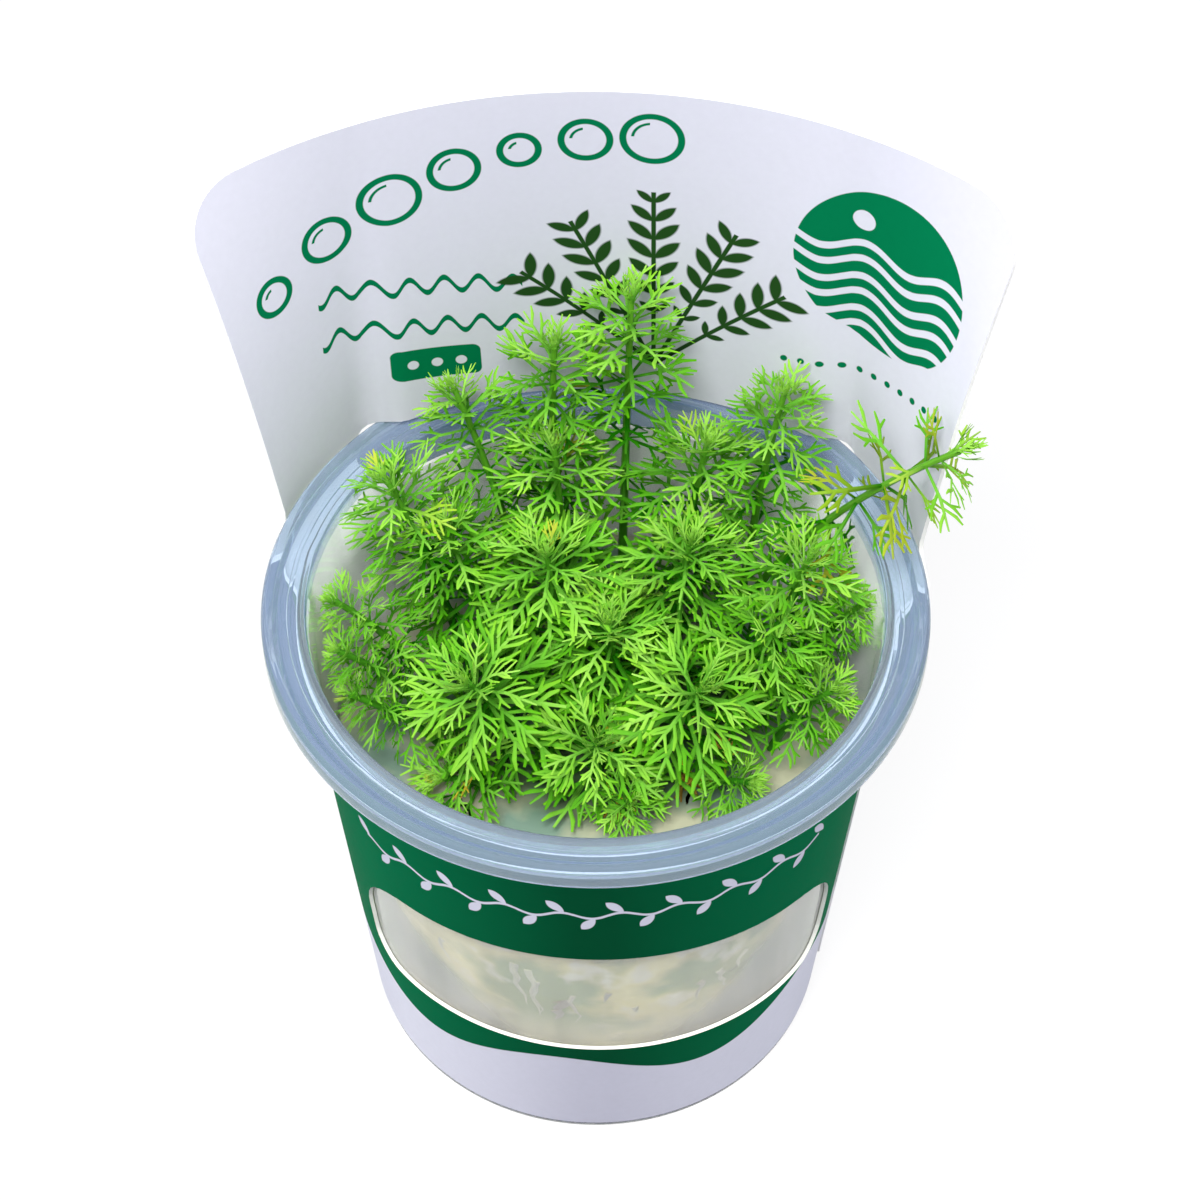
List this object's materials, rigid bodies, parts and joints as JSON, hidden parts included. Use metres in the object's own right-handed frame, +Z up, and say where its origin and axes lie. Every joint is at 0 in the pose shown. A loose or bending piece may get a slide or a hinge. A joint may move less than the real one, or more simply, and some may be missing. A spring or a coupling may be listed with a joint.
{
  "type": "tissue culture plant cup",
  "caption": "Open clear plastic cup of growing gel with feathery-leaved aquatic shoots, in a printed card sleeve with a tall curved header behind.",
  "frame": {"origin": "middle of the cup's flat bottom, on the surface it stands on", "axes": "+Z up through the cup's mouth, +Y towards the back where the card's header stands, -Y towards the front where the card has its window"},
  "size_m": [0.1111, 0.095, 0.1448],
  "materials": {
    "cup_plastic": "gloss",
    "card": "satin",
    "gel": "satin",
    "stem": "satin",
    "leaf": "matte"
  },
  "bodies": {
    "root": {"cup": "cup_plastic", "card_sleeve": "card", "gel": "gel", "stem_01": "stem", "stem_02": "stem", "stem_03": "stem", "stem_04": "stem", "stem_05": "stem", "stem_06": "stem", "stem_07": "stem", "stem_08": "stem", "stem_09": "stem", "stem_10": "stem", "stem_11": "stem", "stem_12": "stem", "stem_13": "stem", "stem_14": "stem", "stem_15": "stem", "stem_16": "stem", "stem_17": "stem", "stem_18": "stem", "stem_19": "stem", "stem_20": "stem", "stem_21": "stem", "stem_22": "stem", "stem_23": "stem", "stem_24": "stem", "stem_25": "stem", "stem_26": "stem", "leaves_01": "leaf", "leaves_02": "leaf", "leaves_03": "leaf", "leaves_04": "leaf", "leaves_05": "leaf", "leaves_06": "leaf", "leaves_07": "leaf", "leaves_08": "leaf", "leaves_09": "leaf", "leaves_10": "leaf", "leaves_11": "leaf", "leaves_12": "leaf", "leaves_13": "leaf", "leaves_14": "leaf", "leaves_15": "leaf", "leaves_16": "leaf", "leaves_17": "leaf", "leaves_18": "leaf", "leaves_19": "leaf", "leaves_20": "leaf", "leaves_21": "leaf", "leaves_22": "leaf", "leaves_23": "leaf", "leaves_24": "leaf", "leaves_25": "leaf", "leaves_26": "leaf"}
  },
  "joints": []
}
